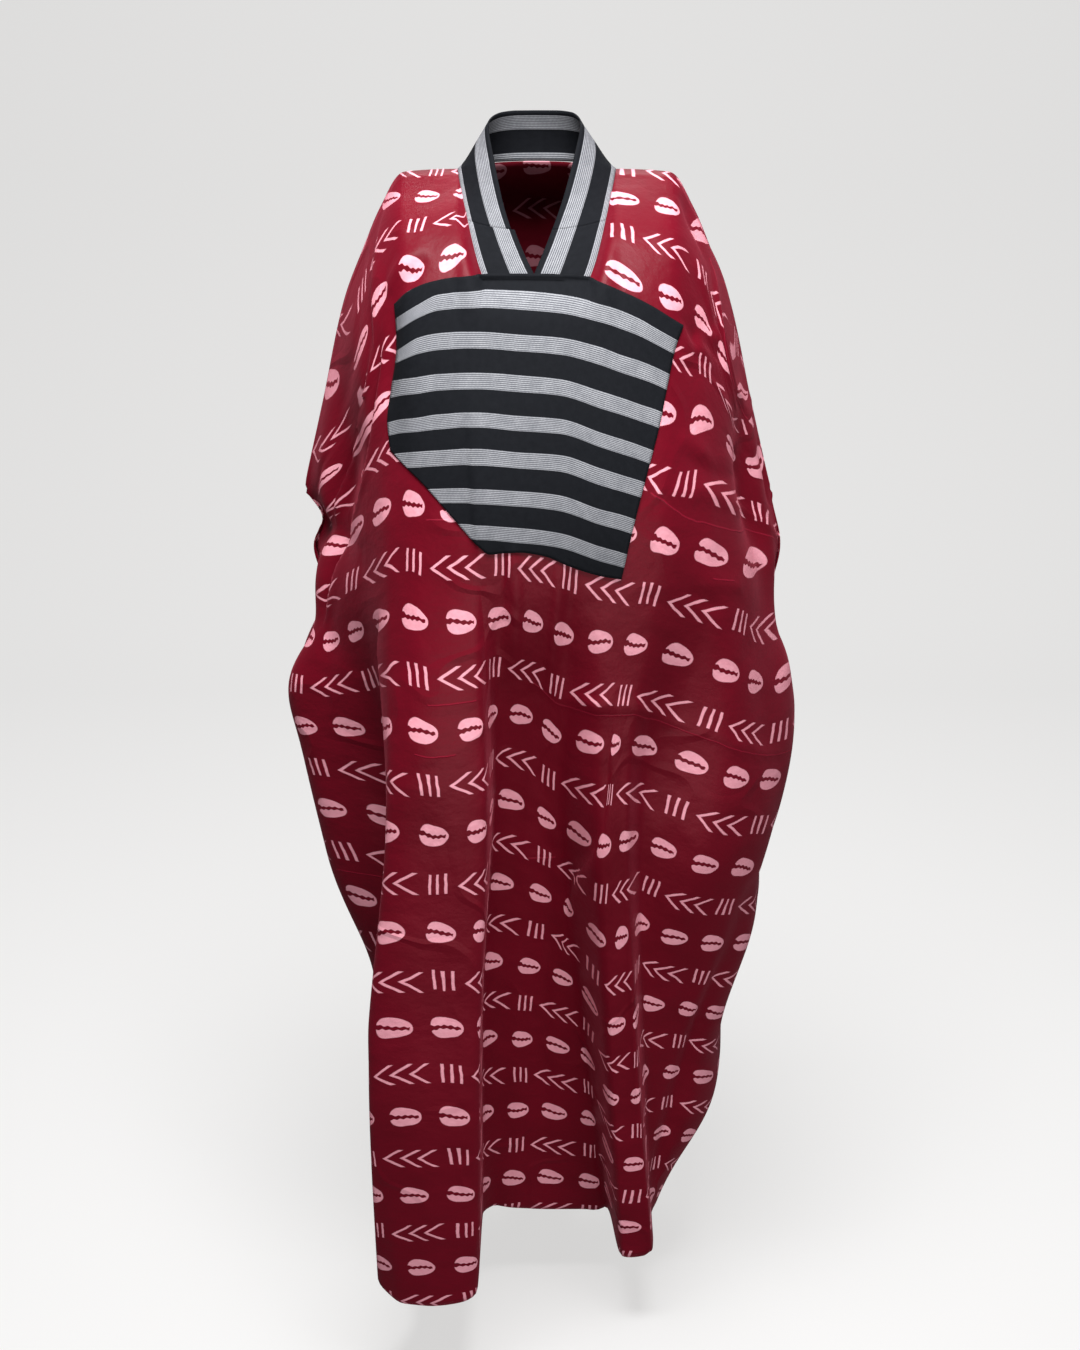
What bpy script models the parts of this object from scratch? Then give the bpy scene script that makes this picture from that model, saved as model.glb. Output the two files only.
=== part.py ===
"""A worn grand boubou: front and back cut in one with the sleeves, collar band and patch panel.

Metres, +Z up, the front faces -Y. The origin is where the wearer's shoulders hold the robe: on the
shoulder seam line, midway between the two sides of the neck.
"""

from collections import namedtuple

import bmesh
import bpy
import numpy as np

# Driving dimensions
HEM_Z = -1.355           # level of the hem below the shoulders
WALL = 0.002             # cloth wall
SEAM_GAP = 0.0003        # between two pieces sewn edge to edge
NECK_HALF = 0.088        # half the neck opening, on the shoulder line
V_HALF = 0.057           # half the width across both collar ends, at the foot of the V
V_FOOT = (-0.139, -0.100)  # (y, z) of the foot of the V
BACK_NECK_Y = 0.062      # depth of the back neckline behind the shoulder line
BACK_NECK_RISE = 0.004   # how far the middle of the back neckline stands above the shoulders
SLEEVE_OPENING = 0.30    # height of each sleeve opening below the sleeve's upper corner
SLEEVE_PARTING = 0.030   # how far each edge of the opening stands off the side seam line
NECK_CELLS = 6           # cells along each side of the neckline, in the panels and the collar alike
COLLAR_JOIN = 3          # cells from the foot of the V up to the joins of the collar
COLLAR_FOOT_Z = -0.0925  # the collar ends here, just above the patch panel's upper edge
YOKE_SHARE = 0.36        # share of the way from shoulder to chest at which the yoke level lies
YOKE_FORWARD = 0.60      # share of the chest's depth that the yoke level already has

# The shoulder seam as seen from the front, from the middle out and down the arm: (distance, x, z)
ShoulderPoint = namedtuple("ShoulderPoint", "along x z")
SHOULDER = (
    ShoulderPoint(0.000, 0.000, 0.000),
    ShoulderPoint(0.088, 0.088, 0.000),
    ShoulderPoint(0.147, 0.147, -0.003),
    ShoulderPoint(0.190, 0.173, -0.038),
    ShoulderPoint(0.242, 0.195, -0.085),
    ShoulderPoint(0.302, 0.218, -0.140),
    ShoulderPoint(0.424, 0.248, -0.258),
    ShoulderPoint(0.540, 0.277, -0.369),
)
HALF_WIDTH = SHOULDER[-1].along

# Heights below the shoulders of the levels at which the fold lines are placed, at the middle
Levels = namedtuple("Levels", "chest elbow waist thigh hem")
LEVEL_Z = Levels(-0.170, -0.380, -0.650, -0.980, HEM_Z)

# One row for each fold line that runs from the shoulder seam to the hem: where it starts along the
# seam, its place (x, y) in plan at each level, and the cells between it and the next line.
FoldLine = namedtuple("FoldLine", "name along chest elbow waist thigh hem cells")
FRONT_LINES = (
    FoldLine("seam_left", -0.540,
             (-0.262, 0.000), (-0.290, 0.000), (-0.263, 0.005), (-0.216, 0.010), (-0.205, 0.010), 3),
    FoldLine("side_left", -0.430,
             (-0.250, -0.060), (-0.282, -0.092), (-0.249, -0.105), (-0.200, -0.108), (-0.196, -0.080), 3),
    FoldLine("hollow_left", -0.350,
             (-0.204, -0.086), (-0.240, -0.122), (-0.208, -0.138), (-0.180, -0.143), (-0.180, -0.115), 3),
    FoldLine("tuck_left", -0.270,
             (-0.183, -0.146), (-0.198, -0.165), (-0.153, -0.162), (-0.166, -0.185), (-0.174, -0.160), 3),
    FoldLine("column_left", -0.200,
             (-0.158, -0.164), (-0.155, -0.236), (-0.164, -0.285), (-0.194, -0.285), (-0.199, -0.232), 2),
    FoldLine("column_face", -0.138,
             (-0.122, -0.181), (-0.114, -0.255), (-0.110, -0.305), (-0.134, -0.302), (-0.134, -0.246), 3),
    FoldLine("column_right", -0.088,
             (-0.083, -0.192), (-0.072, -0.264), (-0.057, -0.290), (-0.068, -0.282), (-0.076, -0.232), NECK_CELLS),
    FoldLine("recess_left", -0.057,
             (-0.054, -0.197), (-0.040, -0.266), (-0.048, -0.215), (-0.068, -0.155), (-0.074, -0.090), 3),
    FoldLine("recess_middle", 0.000,
             (0.000, -0.200), (0.005, -0.262), (-0.012, -0.200), (-0.020, -0.130), (-0.010, -0.062), 3),
    FoldLine("recess_right", 0.057,
             (0.054, -0.196), (0.045, -0.258), (0.025, -0.203), (0.048, -0.128), (0.092, -0.058), NECK_CELLS),
    FoldLine("crest_left", 0.088,
             (0.086, -0.190), (0.078, -0.254), (0.072, -0.246), (0.088, -0.205), (0.112, -0.150), 2),
    FoldLine("crest_right", 0.150,
             (0.138, -0.173), (0.125, -0.243), (0.098, -0.243), (0.116, -0.205), (0.148, -0.152), 3),
    FoldLine("tuck_right", 0.215,
             (0.182, -0.146), (0.172, -0.212), (0.122, -0.205), (0.128, -0.150), (0.152, -0.100), 2),
    FoldLine("plane_right", 0.290,
             (0.213, -0.113), (0.225, -0.168), (0.195, -0.195), (0.168, -0.130), (0.150, -0.075), 3),
    FoldLine("drape_valley", 0.370,
             (0.228, -0.070), (0.262, -0.118), (0.250, -0.155), (0.208, -0.105), (0.154, -0.055), 3),
    FoldLine("drape_bulge", 0.450,
             (0.268, -0.045), (0.300, -0.060), (0.294, -0.078), (0.236, -0.052), (0.163, -0.025), 3),
    FoldLine("seam_right", 0.540,
             (0.285, 0.000), (0.310, 0.005), (0.304, 0.015), (0.243, 0.030), (0.166, 0.030), 0),
)
BACK_LINES = (
    FoldLine("seam_left", -0.540,
             (-0.262, 0.000), (-0.290, 0.000), (-0.263, 0.005), (-0.216, 0.010), (-0.205, 0.010), 3),
    FoldLine("side_left", -0.430,
             (-0.250, 0.055), (-0.280, 0.075), (-0.253, 0.085), (-0.208, 0.090), (-0.194, 0.085), 3),
    FoldLine("hollow_left", -0.340,
             (-0.212, 0.085), (-0.230, 0.120), (-0.215, 0.132), (-0.182, 0.125), (-0.170, 0.115), 3),
    FoldLine("left_pleat_outer", -0.255,
             (-0.184, 0.106), (-0.192, 0.160), (-0.188, 0.205), (-0.172, 0.215), (-0.160, 0.205), 2),
    FoldLine("left_pleat_inner", -0.185,
             (-0.150, 0.119), (-0.150, 0.176), (-0.140, 0.224), (-0.122, 0.234), (-0.112, 0.220), 3),
    FoldLine("valley_left", -NECK_HALF,
             (-0.085, 0.127), (-0.086, 0.154), (-0.088, 0.140), (-0.080, 0.132), (-0.074, 0.125), 4),
    FoldLine("middle_pleat_left", -NECK_HALF / 3,
             (-0.030, 0.133), (-0.032, 0.178), (-0.036, 0.212), (-0.036, 0.224), (-0.034, 0.214), 4),
    FoldLine("middle_pleat_right", NECK_HALF / 3,
             (0.030, 0.133), (0.034, 0.180), (0.038, 0.216), (0.040, 0.228), (0.040, 0.216), 4),
    FoldLine("valley_right", NECK_HALF,
             (0.086, 0.126), (0.090, 0.152), (0.092, 0.138), (0.086, 0.130), (0.078, 0.124), 3),
    FoldLine("right_pleat_inner", 0.190,
             (0.152, 0.118), (0.152, 0.170), (0.142, 0.216), (0.128, 0.226), (0.112, 0.212), 2),
    FoldLine("right_pleat_outer", 0.262,
             (0.188, 0.104), (0.200, 0.158), (0.196, 0.200), (0.178, 0.208), (0.152, 0.198), 3),
    FoldLine("hollow_right", 0.345,
             (0.222, 0.082), (0.244, 0.116), (0.234, 0.130), (0.196, 0.126), (0.150, 0.112), 3),
    FoldLine("side_right", 0.440,
             (0.266, 0.052), (0.298, 0.074), (0.292, 0.088), (0.240, 0.094), (0.160, 0.088), 3),
    FoldLine("seam_right", 0.540,
             (0.285, 0.000), (0.310, 0.005), (0.304, 0.015), (0.243, 0.030), (0.166, 0.030), 0),
)
ROWS_BETWEEN_LEVELS = (3, 4, 5, 5, 5, 5)  # shoulder to yoke, yoke to chest, and so on to the hem

# Bulges and nips of the side outline: which side, height, half-height and how far out it goes
SideWave = namedtuple("SideWave", "side z half_height out")
SIDE_WAVES = (
    SideWave(-1, -0.396, 0.022, -0.018),
    SideWave(-1, -0.505, 0.042, -0.020),
    SideWave(-1, -0.590, 0.045, 0.009),
    SideWave(-1, -0.945, 0.085, -0.018),
    SideWave(-1, -1.230, 0.080, 0.010),
    SideWave(1, -0.425, 0.040, 0.010),
    SideWave(1, -0.500, 0.045, -0.007),
    SideWave(1, -0.660, 0.070, 0.010),
    SideWave(1, -0.840, 0.065, -0.018),
    SideWave(1, -1.200, 0.090, 0.032),
)
WAVE_REACH = 0.34        # how far in from the side seam a wave is felt, along the shoulder seam

# The patch panel's outline as seen from the front: (x, z) round its edge
PATCH_OUTLINE = (
    (-0.151, -0.125),
    (-0.051, -0.0955),
    (0.050, -0.0975),
    (0.154, -0.148),
    (0.127, -0.239),
    (0.087, -0.394),
    (-0.048, -0.361),
    (-0.152, -0.267),
)

# The collar band: its sewn edge follows the neckline, and its free edge stands against the neck.
# Share of the way from the V to the middle of the back, and the free edge's place at the right.
CollarPoint = namedtuple("CollarPoint", "share x y z")
FREE_EDGE = (
    CollarPoint(0.00, 0.0020, -0.142, -0.0975),
    CollarPoint(0.18, 0.0180, -0.112, -0.068),
    CollarPoint(0.34, 0.0320, -0.078, -0.034),
    CollarPoint(0.50, 0.0460, -0.042, 0.010),
    CollarPoint(0.68, 0.0620, 0.000, 0.048),
    CollarPoint(0.84, 0.0480, 0.040, 0.058),
    CollarPoint(1.00, 0.0000, 0.056, 0.060),
)
COLLAR_ROWS = 4
COLLAR_PARTING = 0.01    # share of a cell by which each stretch of the band stops short of the join
NECK_MIDDLE = (0.0, -0.03, -0.03)
COLLAR_CROWN = 0.004     # how far the band bows out between its two edges

RED_SATIN = ((0.26, 0.006, 0.022), 0.42)
STRIPED_CLOTH = ((0.055, 0.058, 0.065), 0.75)


def smooth(knots, values, at):
    """A curve through the values that doesn't overshoot: cubic, with limited slopes at the knots."""
    knots = np.asarray(knots, float)
    values = np.asarray(values, float)
    at = np.asarray(at, float)
    if values.ndim == 1:
        values = values[:, None]
        return smooth(knots, values, at)[:, 0]
    width = np.diff(knots)[:, None]
    rise = np.diff(values, axis=0) / width
    slope = np.zeros_like(values)
    slope[0] = rise[0]
    slope[-1] = rise[-1]
    same_way = rise[1:] * rise[:-1] > 0
    before = 2 * width[1:] + width[:-1]
    after = width[1:] + 2 * width[:-1]
    with np.errstate(divide="ignore", invalid="ignore"):
        mean = (before + after) / (before / rise[:-1] + after / rise[1:])
    slope[1:-1] = np.where(same_way, mean, 0.0)
    cell = np.clip(np.searchsorted(knots, at, side="right") - 1, 0, len(knots) - 2)
    step = width[cell]
    t = ((at - knots[cell]) / step[:, 0])[:, None]
    start = (1 + 2 * t) * (1 - t) ** 2 * values[cell] + t * (1 - t) ** 2 * step * slope[cell]
    end = t * t * (3 - 2 * t) * values[cell + 1] + t * t * (t - 1) * step * slope[cell + 1]
    return start + end


def steps(counts):
    """Knot numbers 0, 1, 2 ... with counts[i] even steps from knot i to knot i + 1."""
    places = [i + k / count for i, count in enumerate(counts) for k in range(count)]
    return np.array(places + [len(counts)], float)


def shoulder_point(along):
    """A point of the shoulder seam, from its signed distance from the middle."""
    knots = [p.along for p in SHOULDER]
    x, z = smooth(knots, [(p.x, p.z) for p in SHOULDER], [abs(along)])[0]
    return np.array((np.copysign(x, along), 0.0, z))


def neck_side(share):
    """The right front neckline from the foot of the V (0) up to the shoulder seam (1)."""
    foot_y, foot_z = V_FOOT
    bow = 0.008 * np.sin(np.pi * share)
    return np.array((
        V_HALF + (NECK_HALF - V_HALF) * share ** 0.75,
        foot_y * (1 - share) - bow,
        foot_z * (1 - share) + bow * 0.5,
    ))


def front_top(along):
    """The upper edge of the front: shoulder seam, neckline sides and foot of the V."""
    if abs(along) >= NECK_HALF:
        return shoulder_point(along)
    if abs(along) >= V_HALF:
        point = neck_side((abs(along) - V_HALF) / (NECK_HALF - V_HALF))
        point[0] = np.copysign(point[0], along)
        return point
    return np.array((along, *V_FOOT))


def back_neckline(share):
    """The back neckline from the left shoulder seam (-1) to the right one (1)."""
    turn = share * np.pi / 2
    return np.array((NECK_HALF * np.sin(turn), BACK_NECK_Y * np.cos(turn), BACK_NECK_RISE * np.cos(turn)))


def back_top(along):
    """The upper edge of the back: shoulder seam and shallow round neckline."""
    if abs(along) >= NECK_HALF:
        return shoulder_point(along)
    return back_neckline(along / NECK_HALF)


def side_wave(along, z):
    """How far a point of a panel is moved out by the bulges of its side's outline."""
    inward = np.clip((HALF_WIDTH - abs(along)) / WAVE_REACH, 0, 1)
    near_seam = 1 - inward * inward * (3 - 2 * inward)
    side = 1 if along > 0 else -1
    out = 0.0
    for wave in SIDE_WAVES:
        if wave.side == side:
            out += wave.out * np.exp(-(((z - wave.z) / wave.half_height) ** 2))
    return side * out * near_seam


def panel_points(lines, top, facing):
    """Rows of points from the upper edge to the hem, each row from the left seam to the right one."""
    across = steps([line.cells for line in lines[:-1]])
    down = steps(ROWS_BETWEEN_LEVELS)
    line_numbers = np.arange(len(lines))
    starts = np.interp(across, line_numbers, [line.along for line in lines])
    level_plans = [
        smooth(line_numbers, [line[level] for line in lines], across)
        for level in range(2, 7)
    ]
    level_shares = np.array([0.0, YOKE_SHARE * LEVEL_Z.chest / HEM_Z] + [z / HEM_Z for z in LEVEL_Z])
    columns = []
    for column, along in enumerate(starts):
        upper = top(along)
        shoulder = shoulder_point(along)
        chest = level_plans[0][column]
        chest_z = shoulder[2] + (HEM_Z - shoulder[2]) * level_shares[2]
        if upper[2] < shoulder[2]:
            chest_z = min(chest_z, upper[2] - 0.45 * (shoulder[2] - upper[2]))
        yoke_x = upper[0] + (chest[0] - upper[0]) * YOKE_SHARE
        yoke_y = upper[1] + (chest[1] - upper[1]) * YOKE_FORWARD
        yoke_z = upper[2] + (chest_z - upper[2]) * YOKE_SHARE
        points = [upper, (yoke_x, yoke_y, yoke_z), (*chest, chest_z)]
        for level in range(1, 5):
            z = shoulder[2] + (HEM_Z - shoulder[2]) * level_shares[level + 2]
            points.append((*level_plans[level][column], z))
        curve = smooth(np.arange(len(points)), points, down)
        for point in curve:
            point[0] += side_wave(along, point[2])
        columns.append(curve)
    points = np.array(columns).transpose(1, 0, 2)
    return part_seams(points, starts, facing)


def part_seams(points, starts, facing):
    """Draws a panel's upper and side edges back from the seam, and opens the sleeve ends."""
    points = points.copy()
    on_shoulder = np.abs(starts) >= NECK_HALF
    points[0, on_shoulder, 1] += facing * SEAM_GAP / 2
    for edge in (0, -1):
        below = points[0, edge, 2] - points[:, edge, 2]
        share = np.clip(below / SLEEVE_OPENING, 0, 1)
        points[:, edge, 1] += facing * (SEAM_GAP / 2 + SLEEVE_PARTING * np.sin(np.pi * share))
    return points


def grid_mesh(name, points, outward):
    """An open surface of triangles through a grid of points, with its faces looking outward."""
    rows, columns = points.shape[:2]
    mesh = bpy.data.meshes.new(name)
    corners = np.arange(rows * columns).reshape(rows, columns)
    upper_left, upper_right = corners[:-1, :-1].ravel(), corners[:-1, 1:].ravel()
    lower_left, lower_right = corners[1:, :-1].ravel(), corners[1:, 1:].ravel()
    triangles = np.concatenate([
        np.stack([upper_left, lower_left, lower_right], axis=1),
        np.stack([upper_left, lower_right, upper_right], axis=1),
    ])
    mesh.from_pydata(points.reshape(-1, 3).tolist(), [], triangles[:, ::outward].tolist())
    mesh.update()
    return mesh


def cloth_material(name, finish):
    colour, roughness = finish
    material = bpy.data.materials.new(name)
    material.use_nodes = True
    shader = material.node_tree.nodes["Principled BSDF"]
    shader.inputs["Base Color"].default_value = (*colour, 1.0)
    shader.inputs["Roughness"].default_value = roughness
    shader.inputs["Metallic"].default_value = 0.0
    return material


def cloth_object(name, mesh, material, collection):
    """Gives an open surface its wall, outward, and puts it in the garment."""
    piece = bpy.data.objects.new(name, mesh)
    collection.objects.link(piece)
    mesh.materials.append(material)
    mesh.shade_smooth()
    wall = piece.modifiers.new("wall", "SOLIDIFY")
    wall.thickness = WALL
    wall.offset = 1.0
    return piece


def laid_on(name, panel_mesh, distance):
    """A copy of a panel's surface, each point moved out along the panel's own normal."""
    mesh = panel_mesh.copy()
    mesh.name = name
    mesh.materials.clear()
    normals = [vertex.normal.copy() for vertex in panel_mesh.vertices]
    for vertex, normal in zip(mesh.vertices, normals):
        vertex.co += normal * distance
    mesh.update()
    return mesh


def cut_to_outline(mesh, outline):
    """Keeps the part of a front mesh that lies inside an outline of (x, z) points, clockwise."""
    shape = bmesh.new()
    shape.from_mesh(mesh)
    for (x0, z0), (x1, z1) in zip(outline, outline[1:] + outline[:1]):
        bmesh.ops.bisect_plane(
            shape,
            geom=shape.verts[:] + shape.edges[:] + shape.faces[:],
            dist=1e-6,
            plane_co=(x0, 0.0, z0),
            plane_no=(-(z1 - z0), 0.0, x1 - x0),
            clear_outer=True,
        )
    shape.to_mesh(mesh)
    shape.free()


def collar_edges():
    """The sewn and free edges of the collar band, from its left end at the V round to its right one."""
    front = [neck_side(cell / NECK_CELLS) for cell in range(NECK_CELLS)]
    back = [back_neckline(1 - cell / NECK_CELLS) for cell in range(NECK_CELLS + 1)]
    right = np.array(front + back)
    left = right[:-1] * (-1, 1, 1)
    sewn = np.concatenate([left, right[::-1]])
    shares = np.arange(len(right)) / (len(right) - 1)
    free_right = smooth([p.share for p in FREE_EDGE], [p[1:] for p in FREE_EDGE], shares)
    free_left = free_right[:-1] * (-1, 1, 1)
    free = np.concatenate([free_left, free_right[::-1]])
    across = free - sewn
    sewn = sewn + across / np.linalg.norm(across, axis=1, keepdims=True) * (WALL + SEAM_GAP)
    return sewn, free


def collar_band(name, first, last, material, collection):
    """A stretch of the collar band between two of its cells, parted from the next by the seam gap."""
    sewn, free = collar_edges()
    places = np.arange(len(sewn), dtype=float)
    chosen = places[first:last + 1].copy()
    if first > 0:
        chosen[0] += COLLAR_PARTING
    if last < len(sewn) - 1:
        chosen[-1] -= COLLAR_PARTING
    sewn = np.stack([np.interp(chosen, places, sewn[:, axis]) for axis in range(3)], axis=1)
    free = np.stack([np.interp(chosen, places, free[:, axis]) for axis in range(3)], axis=1)
    rows = []
    for row in range(COLLAR_ROWS + 1):
        share = row / COLLAR_ROWS
        middle = sewn + (free - sewn) * share
        away = middle - NECK_MIDDLE
        away /= np.linalg.norm(away, axis=1, keepdims=True)
        rows.append(middle + away * COLLAR_CROWN * np.sin(np.pi * share))
    mesh = grid_mesh(name, np.array(rows), 1)
    shape = bmesh.new()
    shape.from_mesh(mesh)
    bmesh.ops.bisect_plane(
        shape,
        geom=shape.verts[:] + shape.edges[:] + shape.faces[:],
        dist=1e-6,
        plane_co=(0.0, 0.0, COLLAR_FOOT_Z),
        plane_no=(0.0, 0.0, -1.0),
        clear_outer=True,
    )
    shape.to_mesh(mesh)
    shape.free()
    return cloth_object(name, mesh, material, collection)


def build():
    for obj in list(bpy.data.objects):
        bpy.data.objects.remove(obj, do_unlink=True)
    garment = bpy.data.collections.new("grand_boubou")
    bpy.context.scene.collection.children.link(garment)
    red = cloth_material("red_satin", RED_SATIN)
    striped = cloth_material("striped_cloth", STRIPED_CLOTH)

    front = panel_points(FRONT_LINES, front_top, -1)
    front_mesh = grid_mesh("front_panel", front, 1)
    cloth_object("front_panel", front_mesh, red, garment)
    back = panel_points(BACK_LINES, back_top, 1)
    cloth_object("back_panel", grid_mesh("back_panel", back, -1), red, garment)

    patch_mesh = laid_on("chest_patch", front_mesh, WALL + SEAM_GAP)
    cut_to_outline(patch_mesh, PATCH_OUTLINE)
    cloth_object("chest_patch", patch_mesh, striped, garment)

    collar_cells = 4 * NECK_CELLS
    collar_band("collar_left", 0, COLLAR_JOIN, striped, garment)
    collar_band("collar_back", COLLAR_JOIN, collar_cells - COLLAR_JOIN, striped, garment)
    collar_band("collar_right", collar_cells - COLLAR_JOIN, collar_cells, striped, garment)


build()
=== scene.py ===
"""The looks of a worn grand boubou: printed cotton satin and strip cloth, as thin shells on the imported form.

Metres, +Z up, the front faces -Y. The origin is the middle of the shoulder seam line at the neck.
"""

import math
from collections import namedtuple
from functools import partialmethod

import bmesh
import bpy
import numpy as np
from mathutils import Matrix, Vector
from mathutils.bvhtree import BVHTree


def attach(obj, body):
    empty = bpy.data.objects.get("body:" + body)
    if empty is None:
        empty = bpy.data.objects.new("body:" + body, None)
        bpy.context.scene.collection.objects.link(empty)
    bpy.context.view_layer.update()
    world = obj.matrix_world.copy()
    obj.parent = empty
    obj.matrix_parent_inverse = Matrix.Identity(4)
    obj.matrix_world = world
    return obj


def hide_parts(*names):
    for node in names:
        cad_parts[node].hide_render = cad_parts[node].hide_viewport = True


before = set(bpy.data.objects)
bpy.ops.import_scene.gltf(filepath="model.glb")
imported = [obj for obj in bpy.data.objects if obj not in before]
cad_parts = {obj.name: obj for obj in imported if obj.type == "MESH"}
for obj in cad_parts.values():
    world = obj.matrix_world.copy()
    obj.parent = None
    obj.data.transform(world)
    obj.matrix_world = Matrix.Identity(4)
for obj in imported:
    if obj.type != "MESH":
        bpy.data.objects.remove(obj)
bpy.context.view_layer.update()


def in_metres(lengths):
    """A length in millimetres, or a nest of such lengths, in metres."""
    if isinstance(lengths, tuple):
        return tuple(in_metres(length) for length in lengths)
    return lengths / 1000


def table(kind, *rows, plain=""):
    """Rows of a table written in millimetres, in metres apart from its one plain column."""
    return tuple(
        kind(*(value if column == plain else in_metres(value) for column, value in zip(kind._fields, row)))
        for row in rows
    )


# The cloth's form

HEM_Z = -1.355
NECK_HALF = 0.088        # half the neck opening, on the shoulder line
V_HALF = 0.057           # half the width across both collar ends, at the foot of the V
V_FOOT = (-0.139, -0.100)
BACK_NECK_Y = 0.062
BACK_NECK_RISE = 0.004
SLEEVE_OPENING = 0.30
SLEEVE_PARTING = 0.030
SEAM_GAP = 0.0003
YOKE_SHARE = 0.36
YOKE_FORWARD = 0.60
BELOW_V = 0.45           # under the neck the chest level is at least this share of the V's depth below it
NECK_CELLS = 6

ShoulderPoint = namedtuple("ShoulderPoint", "along x z")
SHOULDER = table(
    ShoulderPoint,
    (0, 0, 0),
    (88, 88, 0),
    (147, 147, -3),
    (190, 173, -38),
    (242, 195, -85),
    (302, 218, -140),
    (424, 248, -258),
    (540, 277, -369),
)
HALF_WIDTH = SHOULDER[-1].along

LEVEL_Z = (-0.170, -0.380, -0.650, -0.980, HEM_Z)  # chest, elbow, waist, thigh, hem

# One row for each fold line that runs from the shoulder seam to the hem: where it starts along the
# seam, and its place (x, y) in plan at each level.
FoldLine = namedtuple("FoldLine", "name along chest elbow waist thigh hem")
FRONT_LINES = table(
    FoldLine,
    ("seam_left", -540, (-262, 0), (-290, 0), (-263, 5), (-216, 10), (-205, 10)),
    ("side_left", -430, (-250, -60), (-282, -92), (-249, -105), (-200, -108), (-196, -80)),
    ("hollow_left", -350, (-204, -86), (-240, -122), (-208, -138), (-180, -143), (-180, -115)),
    ("tuck_left", -270, (-183, -146), (-198, -165), (-153, -162), (-166, -185), (-174, -160)),
    ("column_left", -200, (-158, -164), (-155, -236), (-164, -285), (-194, -285), (-199, -232)),
    ("column_face", -138, (-122, -181), (-114, -255), (-110, -305), (-134, -302), (-134, -246)),
    ("column_right", -88, (-83, -192), (-72, -264), (-57, -290), (-68, -282), (-76, -232)),
    ("recess_left", -57, (-54, -197), (-40, -266), (-48, -215), (-68, -155), (-74, -90)),
    ("recess_middle", 0, (0, -200), (5, -262), (-12, -200), (-20, -130), (-10, -62)),
    ("recess_right", 57, (54, -196), (45, -258), (25, -203), (48, -128), (92, -58)),
    ("crest_left", 88, (86, -190), (78, -254), (72, -246), (88, -205), (112, -150)),
    ("crest_right", 150, (138, -173), (125, -243), (98, -243), (116, -205), (148, -152)),
    ("tuck_right", 215, (182, -146), (172, -212), (122, -205), (128, -150), (152, -100)),
    ("plane_right", 290, (213, -113), (225, -168), (195, -195), (168, -130), (150, -75)),
    ("drape_valley", 370, (228, -70), (262, -118), (250, -155), (208, -105), (154, -55)),
    ("drape_bulge", 450, (268, -45), (300, -60), (294, -78), (236, -52), (163, -25)),
    ("seam_right", 540, (285, 0), (310, 5), (304, 15), (243, 30), (166, 30)),
    plain="name",
)
BACK_LINES = (FRONT_LINES[0], *table(
    FoldLine,
    ("side_left", -430, (-250, 55), (-280, 75), (-253, 85), (-208, 90), (-194, 85)),
    ("hollow_left", -340, (-212, 85), (-230, 120), (-215, 132), (-182, 125), (-170, 115)),
    ("left_pleat_outer", -255, (-184, 106), (-192, 160), (-188, 205), (-172, 215), (-160, 205)),
    ("left_pleat_inner", -185, (-150, 119), (-150, 176), (-140, 224), (-122, 234), (-112, 220)),
    ("valley_left", -88, (-85, 127), (-86, 154), (-88, 140), (-80, 132), (-74, 125)),
    ("middle_pleat_left", -88 / 3, (-30, 133), (-32, 178), (-36, 212), (-36, 224), (-34, 214)),
    ("middle_pleat_right", 88 / 3, (30, 133), (34, 180), (38, 216), (40, 228), (40, 216)),
    ("valley_right", 88, (86, 126), (90, 152), (92, 138), (86, 130), (78, 124)),
    ("right_pleat_inner", 190, (152, 118), (152, 170), (142, 216), (128, 226), (112, 212)),
    ("right_pleat_outer", 262, (188, 104), (200, 158), (196, 200), (178, 208), (152, 198)),
    ("hollow_right", 345, (222, 82), (244, 116), (234, 130), (196, 126), (150, 112)),
    ("side_right", 440, (266, 52), (298, 74), (292, 88), (240, 94), (160, 88)),
    plain="name",
), FRONT_LINES[-1])

# Bulges and nips of the side outline: which side, height, half-height and how far out it goes
SideWave = namedtuple("SideWave", "side z half_height out")
SIDE_WAVES = table(
    SideWave,
    (-1, -396, 22, -18),
    (-1, -505, 42, -20),
    (-1, -590, 45, 9),
    (-1, -945, 85, -18),
    (-1, -1230, 80, 10),
    (1, -425, 40, 10),
    (1, -500, 45, -7),
    (1, -660, 70, 10),
    (1, -840, 65, -18),
    (1, -1200, 90, 32),
    plain="side",
)
WAVE_REACH = 0.34        # how far in from the side seam a wave is felt, along the shoulder seam

COLUMNS = 262
ROWS = (10, 20, 32, 38, 42, 46)  # rows of cells from each level to the next
Crowd = namedtuple("Crowd", "first last extra")
FRONT_CROWDS = (Crowd(-0.39, -0.18, 0.7), Crowd(-0.245, -0.205, 1.2), Crowd(0.10, 0.30, 0.25))


def reach_along(points):
    """How far along a line of points each of them lies."""
    return np.concatenate([[0], np.cumsum(np.linalg.norm(np.diff(points, axis=0), axis=1))])


def reach_across(points):
    """How far along its row each point of a grid lies."""
    return np.array([reach_along(row) for row in points])


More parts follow.
